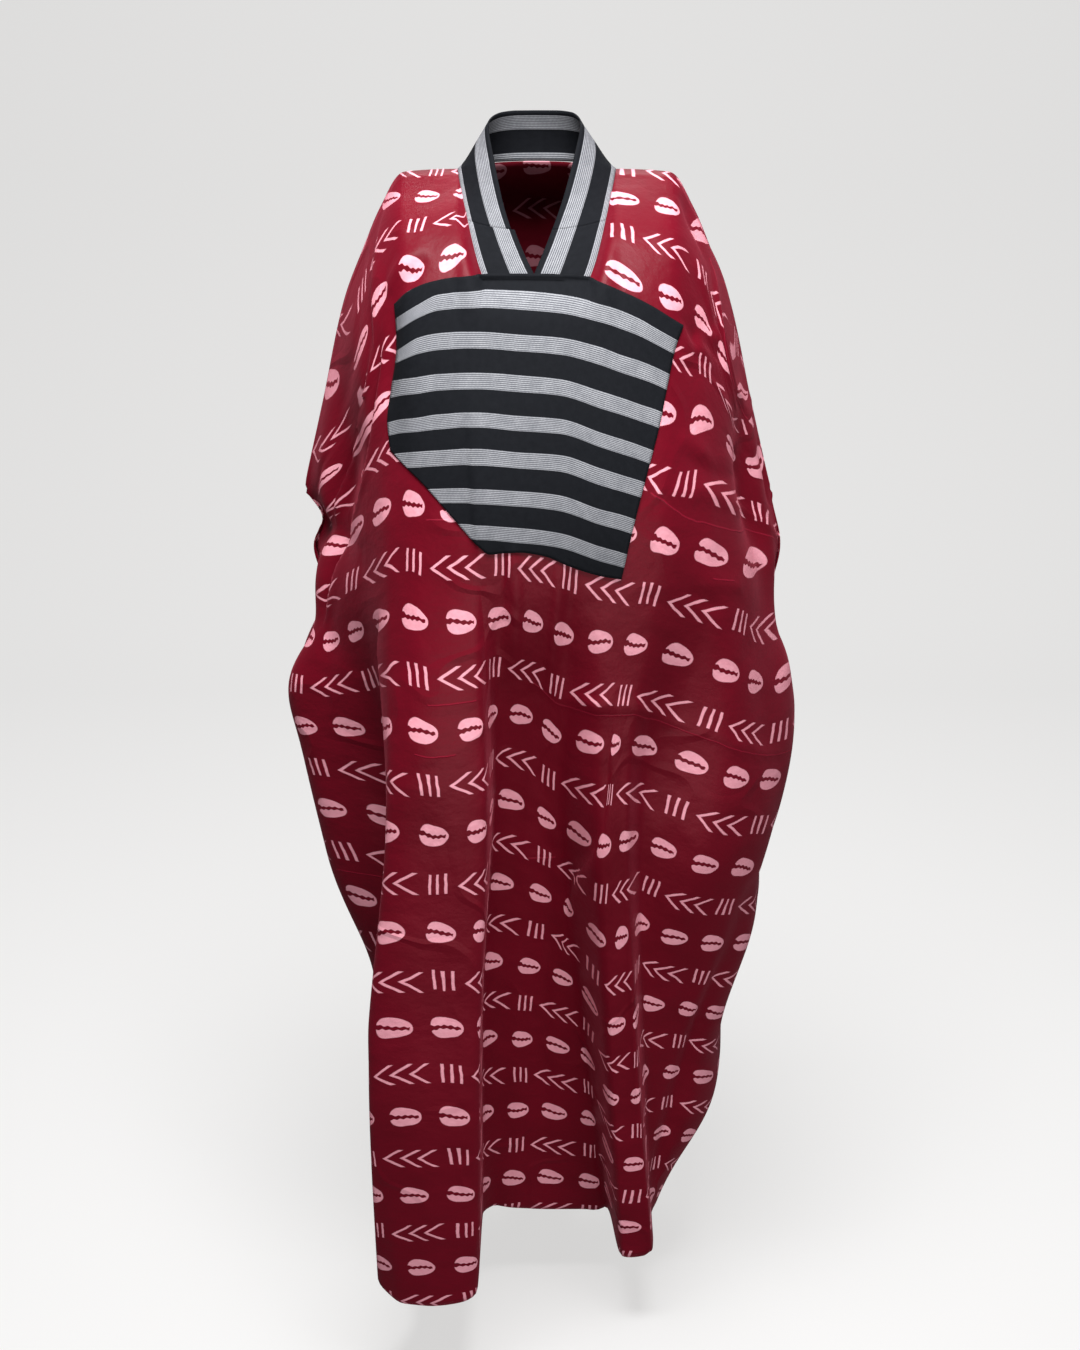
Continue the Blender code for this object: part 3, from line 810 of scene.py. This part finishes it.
# Sharp creases that were pressed into the folded cloth: from a place to a place on the flat cloth
PressedLine = namedtuple("PressedLine", "across down to_across to_down")
PRESSED = table(
    PressedLine,
    (6, 640, 104, 652),
    (104, 652, 208, 649),
    (208, 649, 372, 656),
    (114, 391, 173, 411),
    (173, 411, 290, 398),
    (-140, 656, -92, 655),
    (-158, 716, -118, 715),
    (24, 891, 66, 863),
    (-130, 451, -106, 450),
    (164, 86, 196, 112),
    (196, 112, 242, 235),
    (204, 462, 222, 458),
    (-207, 106, -213, 226),
    (-360, 905, -240, 900),
)
PRESSED_HALF_WIDTH = 0.0013


def pressed_lines(across, down):
    """How near a place is to the nearest pressed crease, from 0 to 1."""
    found = None
    for line in PRESSED:
        run, fall = line.to_across - line.across, line.to_down - line.down
        length = math.hypot(run, fall)
        a, d = across - line.across, down - line.down
        along = a * (run / length) + d * (fall / length)
        off = abs(a * (fall / length) - d * (run / length))
        near = (1.0 - off / PRESSED_HALF_WIDTH).most(0.0)
        inside = along.edge(0.0008) * (length - along).edge(0.0008)
        shown = near * inside
        found = shown if found is None else found.most(shown)
    return found


def printed_satin(name, depth, roughness):
    """Wine-red satin-faced cotton, resist printed with pale motifs; depth is how strongly they show."""
    material, shader = new_material(name, roughness, 0.16, 0.50, 0.14)
    shader.inputs["Sheen Tint"].default_value = SATIN_SHEEN
    place, across, down = cloth_fields(material.node_tree)
    # the hand-cut stamp wavers a little
    waver = noise(place, 70.0, 1.0)
    waver_down = noise(vector(down, across, 4.0), 70.0, 1.0)
    across = across + (waver - 0.5) * 0.0022
    down = down + (waver_down - 0.5) * 0.0022
    cover = stroke_rows(across, down).most(cowrie_rows(across, down)) * depth
    cloudy = noise(place, 9.0, 4.0, 0.6)
    creases = pressed_lines(across, down)
    red = mixed((cloudy - 0.28).math("MULTIPLY", 2.2, clamp=True), DEEP_RED, RED)
    # painted highlight along the pressed creases: their lines are mixed towards a lighter red
    red = mixed(creases * 0.6, red, CREASE_HIGHLIGHT_RED)
    crackle = noise(place, 160.0, 2.0)
    pink = mixed((crackle - 0.3).math("MULTIPLY", 2.5, clamp=True), PINK, PALE_PINK)
    plug(shader.inputs["Base Color"], mixed(cover, red, pink))
    thread = noise(vector(across * 3.0, down * 0.6), 900.0, 1.0)
    rumple = noise(place, 38.0, 3.0, 0.55)
    facets = noise(place, 16.0, 1.0)
    # thin rumpled ridges along the noise's middle, in places
    bent = abs(noise(place, 8.0, 1.0) - 0.5)
    patches = (noise(vector(down, across, 7.0), 5.0, 1.0) - 0.47).math("MULTIPLY", 9.0, clamp=True)
    ridges = (1.0 - bent * 26.0).most(0.0) * patches
    relief(shader, thread * 0.10 + rumple + facets * 1.6 + creases * 0.25 + ridges * 0.75, 0.0026, 0.55)
    return material


# The strip cloth

BAND_PITCH = 0.0432      # a black and a grey band together
GREY_BAND = 0.0178
THREAD = 0.0021          # pitch of the silver thread rows within a grey band
BLACK = (0.0050, 0.0056, 0.0075, 1.0)
DULL_BLACK = (0.011, 0.012, 0.015, 1.0)
GREY = (0.075, 0.079, 0.094, 1.0)
SILVER = (0.50, 0.505, 0.53, 1.0)


def strip_cloth():
    """Black strip cloth with grey bands of silver thread rows; the bands run along the first coordinate."""
    material, shader = new_material("strip_cloth", 0.75, 0.01, 0.5, 0.06)
    place, along, across = cloth_fields(material.node_tree)
    sway = (noise(place, 14.0, 1.0) - 0.5) * 0.0016
    from_band = ((across + sway) / BAND_PITCH).fraction() * BAND_PITCH
    inside = (GREY_BAND / 2 - abs(from_band - GREY_BAND / 2)).edge(0.0003)
    row = (from_band / THREAD).floor()
    in_row = abs((from_band / THREAD).fraction() - 0.5)
    dash = abs((along / 0.0046 + chance(row, 1.0, 7.0) * 5.0).fraction() - 0.5)
    worn = noise(place, 60.0, 3.0, 0.7)
    thread = (0.30 - in_row).edge(0.10) * (0.42 - dash * 0.30).math("ADD", 0.35, clamp=True)
    silver = thread * (worn * 0.9 + 0.35)
    grey = mixed(silver.math("MULTIPLY", 1.0, clamp=True), GREY, SILVER)
    black = mixed(noise(place, 120.0, 3.0, 0.7), BLACK, DULL_BLACK)
    plug(shader.inputs["Base Color"], mixed(inside, black, grey))
    ribs = (across * (2 * math.pi / 0.0011)).sine() * 0.5
    rumple = noise(place, 30.0, 2.0)
    relief(shader, ribs * 0.12 + silver * inside * 0.3 + rumple, 0.0012, 0.6)
    return material


# The patch and the collar

PATCH_TOP = in_metres((
    (-150, -128), (-134, -113), (-113, -104), (-81, -98), (-51, -96), (0, -96), (51, -98.5), (87, -111),
    (119, -126), (154, -148)
))
PATCH_RIGHT = in_metres((
    (154, -148), (146, -166), (138, -197), (128, -242), (113, -295), (100, -345), (89, -397)
))
PATCH_BOTTOM = in_metres((
    (-154, -272), (-117, -301), (-86, -332), (-60, -358), (-49, -366), (-23, -364), (8, -369), (35, -381),
    (66, -392), (89, -397)
))
PATCH_LEFT = in_metres(((-150, -128), (-148, -147), (-147, -172), (-153, -212), (-157, -243), (-154, -272)))
PATCH_CELLS = (96, 84)   # across, down
PATCH_LIP = -0.1462      # the patch's upper edge stands this far forward over the ends of the collar
PATCH_LIP_HALF_WIDTH = 0.060
PATCH_EASE = 1.25        # the patch's flat width to its width as worn

# How far down the upper edge of each grey band lies, in upright cuts through the patch: measured on
# the photo by a script that looked for the bands' edges, then rounded, and carried on below by hand
PatchBand = namedtuple("PatchBand", "x first second third fourth fifth sixth seventh eighth")
PATCH_BANDS = table(
    PatchBand,
    (-157, 150, 182, 207, 246, 278, 316, 350, 385),
    (-140, 136, 168, 199, 239, 272, 309, 344, 380),
    (-123, 125, 157, 195, 235, 268, 306, 341, 377),
    (-102, 115, 152, 191, 230, 265, 303, 338, 374),
    (-60, 111, 149, 188, 226, 261, 300, 336, 372),
    (-18, 112, 151, 190, 229, 264, 302, 339, 376),
    (24, 115, 154, 194, 232, 267, 307, 345, 382),
    (66, 123, 164, 206, 246, 281, 322, 360, 398),
    (87, 130, 172, 213, 253, 288, 328, 367, 405),
    (108, 139, 179, 221, 261, 295, 336, 375, 413),
    (124, 148, 186, 227, 268, 302, 343, 382, 420),
    (155, 166, 203, 244, 286, 320, 361, 400, 438),
)


def along_outline(corners, shares):
    """Points at shares of a smooth outline's own length."""
    corners = np.array(corners)
    reach = reach_along(corners)
    return smooth(reach / reach[-1], corners, shares)


def patch_grid(front_points, front_normals):
    """The patch panel's points on the front's surface, their flat coordinates and the normals there."""
    a = np.linspace(0, 1, PATCH_CELLS[0] + 1)
    b = np.linspace(0, 1, PATCH_CELLS[1] + 1)
    top, bottom = along_outline(PATCH_TOP, a), along_outline(PATCH_BOTTOM, a)
    left, right = along_outline(PATCH_LEFT, b), along_outline(PATCH_RIGHT, b)
    A, B = a[None, :, None], b[:, None, None]
    plan = (1 - B) * top[None] + B * bottom[None] + (1 - A) * left[:, None] + A * right[:, None]
    plan -= (1 - A) * (1 - B) * top[0] + A * (1 - B) * top[-1] + (1 - A) * B * bottom[0] + A * B * bottom[-1]
    upper = slice(0, front_points.shape[0] * 2 // 5)
    points = front_points[upper].reshape(-1, 3)
    normal = front_normals[upper].reshape(-1, 3)
    one, two, three, four = cell_corners(*front_points[upper].shape[:2])
    triangles = np.concatenate([np.stack([one, two, three], axis=1), np.stack([one, three, four], axis=1)])
    tree = BVHTree.FromPolygons(points.tolist(), triangles.tolist())

    def on_front(x, z):
        """The point of the front seen at x and z, and the normal there, as six numbers."""
        hit, _, face, _ = tree.ray_cast(Vector((x, -1.0, z)), Vector((0, 1, 0)))
        if hit is None:
            hit, _, face, _ = tree.find_nearest(Vector((x, -0.15, z)))
            hit.z = z
        corner = triangles[face]
        origin, beside, below = points[corner]
        basis = np.stack([beside - origin, below - origin], axis=1)
        share, *_ = np.linalg.lstsq(basis, np.array(hit) - origin, rcond=None)
        direction = np.array((1 - share.sum(), *share)) @ normal[corner]
        return (*hit, *direction / np.linalg.norm(direction))

    made = np.array([[on_front(*place) for place in row] for row in plan])
    tops = smooth([line.x for line in PATCH_BANDS], [line[1:] for line in PATCH_BANDS], plan[..., 0].ravel())
    down = -plan[..., 1].ravel()
    number = np.array([np.interp(z, row, np.arange(len(row))) for z, row in zip(down, tops)])
    number = np.where(down < tops[:, 0], (down - tops[:, 0]) / (tops[:, 1] - tops[:, 0]), number)
    bands = np.stack([plan[..., 0] * PATCH_EASE, number.reshape(plan.shape[:2]) * BAND_PITCH], axis=2)
    return made[..., :3], bands, made[..., 3:]


# The collar's free edge, by the share of the way from the foot of the V to the middle of the back
CollarPoint = namedtuple("CollarPoint", "share left right y z")
FREE_EDGE = table(
    CollarPoint,
    (0.00, -1.5, -4, -142, -97.5),
    (0.18, -17.2, 10, -112, -68),
    (0.34, -31, 24.3, -78, -34),
    (0.50, -44, 38.5, -42, 10),
    (0.68, -53, 48, 0, 48),
    (0.84, -42, 40, 40, 58),
    (0.92, -23, 22, 52.5, 60),
    (1.00, 0, 0, 56, 60),
    plain="share",
)
COLLAR_WIDTH = 0.055
COLLAR_CLOTH_WIDTH = 0.058
COLLAR_FINE = 8          # fine cells to each cell of the neckline
COLLAR_ROWS = 14
COLLAR_CLOTH = 0.0016
COLLAR_CROWN = 0.004
COLLAR_FIRST_BAND = 0.006  # a black edge this wide, then the first grey band
COLLAR_FOOT_Z = -0.0985
NECK_MIDDLE = (0.0, -0.03, -0.03)
COLLAR_JOIN = 3          # cells up from the V at which the front bands join the back one
JOIN_STEP = 0.0040       # at the left join the back band's free edge stands back by this much
JOIN_REACH = 0.10        # and comes forward again over this length
COLLAR_GAP = 0.0012      # the shell stops this far short of the seam


def collar_edges():
    """The sewn and free edges of the collar band, from its left end at the V round to its right one."""
    fine = NECK_CELLS * COLLAR_FINE
    front = [neck_side(cell / fine) for cell in range(fine)]
    back = [back_neckline(1 - cell / fine) for cell in range(fine + 1)]
    right = np.array(front + back)
    sewn = np.concatenate([right[:-1] * (-1, 1, 1), right[::-1]])
    shares = np.arange(len(right)) / (len(right) - 1)
    free = smooth([p.share for p in FREE_EDGE], [p[1:] for p in FREE_EDGE], shares)
    free = np.concatenate([free[:-1, [0, 2, 3]], free[::-1, 1:]])
    return sewn, free


def collar_band(name, first, last, step, material):
    """A stretch of the collar band, whose free edge stands back by step at its start."""
    sewn, free = collar_edges()
    places = slice(first * COLLAR_FINE, last * COLLAR_FINE + 1)
    sewn, free = sewn[places], free[places]
    reach = reach_along(sewn)
    back = step * np.exp(-((reach / JOIN_REACH) ** 2))[:, None]
    inward = sewn - free
    width = np.linalg.norm(inward, axis=1, keepdims=True)
    free = free + inward / width * back
    share = np.linspace(0, 1, COLLAR_ROWS + 1)[:, None, None]
    middle = free + (sewn - free) * (share * (1 - COLLAR_GAP / COLLAR_WIDTH))
    away = middle - NECK_MIDDLE
    away /= np.linalg.norm(away, axis=2, keepdims=True)
    points = middle + away * (COLLAR_CROWN * np.sin(np.pi * share) + ON_WALL)
    across = COLLAR_CLOTH_WIDTH * share[..., 0] - COLLAR_FIRST_BAND
    uv = np.stack(np.broadcast_arrays(reach, across), axis=2)
    piece = grid_object(name, points, uv, -1, COLLAR_CLOTH, material)
    shape = bmesh.new()
    shape.from_mesh(piece.data)
    everything = shape.verts[:] + shape.edges[:] + shape.faces[:]
    cut = {"plane_co": (0.0, 0.0, COLLAR_FOOT_Z), "plane_no": (0.0, 0.0, -1.0), "dist": 1e-6}
    bmesh.ops.bisect_plane(shape, geom=everything, clear_outer=True, **cut)
    shape.to_mesh(piece.data)
    shape.free()
    return piece


# Camera, floor, light

FLOOR_Z = -1.47
WALL_Y = 3.4
COVE = 1.2               # radius of the curve between floor and wall
CAMERA_AT = (0.0035, -2.0, 0.15)
CAMERA_DOWN = math.radians(20.56)
PHOTO_HEIGHT = 1350
FOCAL_PIXELS = 1730.0


def set_up_camera():
    """The photograph's own view: from above the waist, two metres in front."""
    lens = bpy.data.cameras.new("camera")
    lens.sensor_fit = "VERTICAL"
    lens.sensor_height = 24.0
    lens.lens = lens.sensor_height * FOCAL_PIXELS / PHOTO_HEIGHT
    bpy.context.scene.camera = stand("camera", lens, CAMERA_AT, (math.pi / 2 - CAMERA_DOWN, 0.0, 0.0))


def backdrop():
    """A pale floor that curves up into a wall far behind."""
    profile = [(-6.0, FLOOR_Z)]
    for turn in np.linspace(0, math.pi / 2, 13):
        y, z = COVE * math.sin(turn), COVE * (1 - math.cos(turn))
        profile.append((WALL_Y - COVE + y, FLOOR_Z + z))
    profile.append((WALL_Y, 4.0))
    mesh = bpy.data.meshes.new("backdrop")
    points = [(x, y, z) for y, z in profile for x in (-7.0, 7.0)]
    faces = [(2 * i, 2 * i + 1, 2 * i + 3, 2 * i + 2) for i in range(len(profile) - 1)]
    mesh.from_pydata(points, [], faces)
    mesh.shade_smooth()
    material, shader = new_material("backdrop", 0.95, 0.0, 0.5, 0.1)
    shader.inputs["Base Color"].default_value = (0.30, 0.30, 0.30, 1.0)
    shader.inputs["Emission Color"].default_value = (0.99, 0.98, 0.97, 1.0)
    shader.inputs["Emission Strength"].default_value = 0.62
    mesh.materials.append(material)
    stage = stand("backdrop", mesh)
    stage.visible_diffuse = False
    stage.visible_glossy = False


def area_light(name, place, aim, size, watts):
    """A white rectangular light that looks at its aim."""
    light = bpy.data.lights.new(name, "AREA")
    light.shape = "RECTANGLE"
    light.size, light.size_y = size
    light.energy = watts
    stand(name, light, place, (Vector(aim) - Vector(place)).to_track_quat("-Z", "Y").to_euler())


def light_studio():
    """Soft light from above, a weaker one low in front and one behind, in a dim world."""
    world = bpy.data.worlds.new("world")
    bpy.context.scene.world = world
    world.use_nodes = True
    background = world.node_tree.nodes["Background"]
    background.inputs["Color"].default_value = (0.95, 0.97, 1.0, 1.0)
    background.inputs["Strength"].default_value = 0.10
    area_light("key", (-0.05, -0.72, 1.55), (0.0, -0.1, -0.30), (1.2, 0.7), 82.0)
    area_light("low", (0.60, -2.4, -0.85), (0.10, -0.2, -1.2), (3.0, 1.2), 34.0)
    area_light("back", (0.0, 2.2, 1.8), (0.0, 0.2, -0.5), (1.6, 1.0), 25.0)
    bpy.context.scene.view_settings.view_transform = "Standard"


# The garment


def register(piece, slot, flat, **cut):
    """Applies a piece's shell, attaches it to the root and hides the imported solid it stands for; slot, flat
    and cut are not used.
    """
    settle(piece)
    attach(piece, "root")
    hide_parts(piece.name.removesuffix("_cloth"))


CUT = (1.08, 1.50)       # each panel's flat width, and length at the middle
CUT_AREA = 1.45          # less its neck cut and rounded hem corners

# How far the front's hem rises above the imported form's level hem, at places along its width
HEM_ALONG = in_metres((
    -300, -257, -224, -209, -187, -163, -136, -112, -95, -85, -65, -40, -11, 17, 43, 62, 75, 100, 130, 143,
    177, 201, 240
))
HEM_RISES = in_metres((0, 12, 36, 41, 24, 6, 3, 5, 12, 22, 20, 22, 11, 6, 5, 9, 4, 0, 4, 10, 13, 7, 0))
HEM_REACH = 0.14         # the cloth below this much above the hem takes part


def hemmed(points, flat, starts):
    """Points with the hem cut to its rounded corners; the print stays where it was."""
    across, down = flat
    rise = smooth(HEM_ALONG, HEM_RISES, np.clip(starts, HEM_ALONG[0], HEM_ALONG[-1]))
    share = np.clip((down - down[-1] + HEM_REACH) / HEM_REACH, 0, 1) ** 2 * rise
    points = points.copy()
    points[..., 2] += share
    return points, (across, down - share)


def panel(name, facing, material, inner):
    """The front or the back panel, and its points and normals."""
    if facing < 0:
        lines, top, creases, crowds = FRONT_LINES, front_top, FRONT_CREASES, FRONT_CROWDS
    else:
        lines, top, creases, crowds = BACK_LINES, back_top, BACK_CREASES, ()
    starts = panel_columns(lines, crowds)
    points = part_seams(panel_points(lines, top, starts), starts, facing)
    normals = outward_normals(points, facing)
    if facing < 0:
        points, flat = lapped(points, normals, front_coordinates(starts), FRONT_LAPS)
    else:
        flat = cloth_coordinates(points, starts)
    points = creased(points, normals, flat, creases)
    if facing < 0:
        points, flat = hemmed(points, flat, starts)
    place = points + normals * ON_WALL
    piece = grid_object(name, place, np.stack(flat, axis=2), -facing, CLOTH, material, inner)
    register(piece, "red_satin", CUT, area=CUT_AREA)
    return points, normals


def dress():
    """Makes every piece of the robe."""
    satin = printed_satin("printed_satin", 1.0, 0.46)
    wrong_side = printed_satin("printed_satin_inside", 0.45, 0.7)
    strip = strip_cloth()
    front, front_normals = panel("front_panel_cloth", -1, satin, wrong_side)
    panel("back_panel_cloth", 1, satin, wrong_side)

    points, bands, normals = patch_grid(front, front_normals)
    points = points + normals * PATCH_ON_WALL
    lip = (np.abs(points[..., 0]) < PATCH_LIP_HALF_WIDTH) & (points[..., 1] > PATCH_LIP)
    points[..., 1] = np.where(lip, PATCH_LIP, points[..., 1])
    patch = grid_object("chest_patch_cloth", points, bands, 1, PATCH_CLOTH, strip)
    register(patch, "striped_cloth", (0.31, 0.32), area=0.078)

    last = 4 * NECK_CELLS
    stretches = (
        ("collar_left_cloth", 0, COLLAR_JOIN, 0.0, 0.08),
        ("collar_back_cloth", COLLAR_JOIN, last - COLLAR_JOIN, JOIN_STEP, 0.42),
        ("collar_right_cloth", last - COLLAR_JOIN, last, 0.0, 0.08),
    )
    for name, first, end, step, length in stretches:
        register(collar_band(name, first, end, step, strip), "striped_cloth", (length, COLLAR_WIDTH))


set_up_camera()
backdrop()
light_studio()
dress()
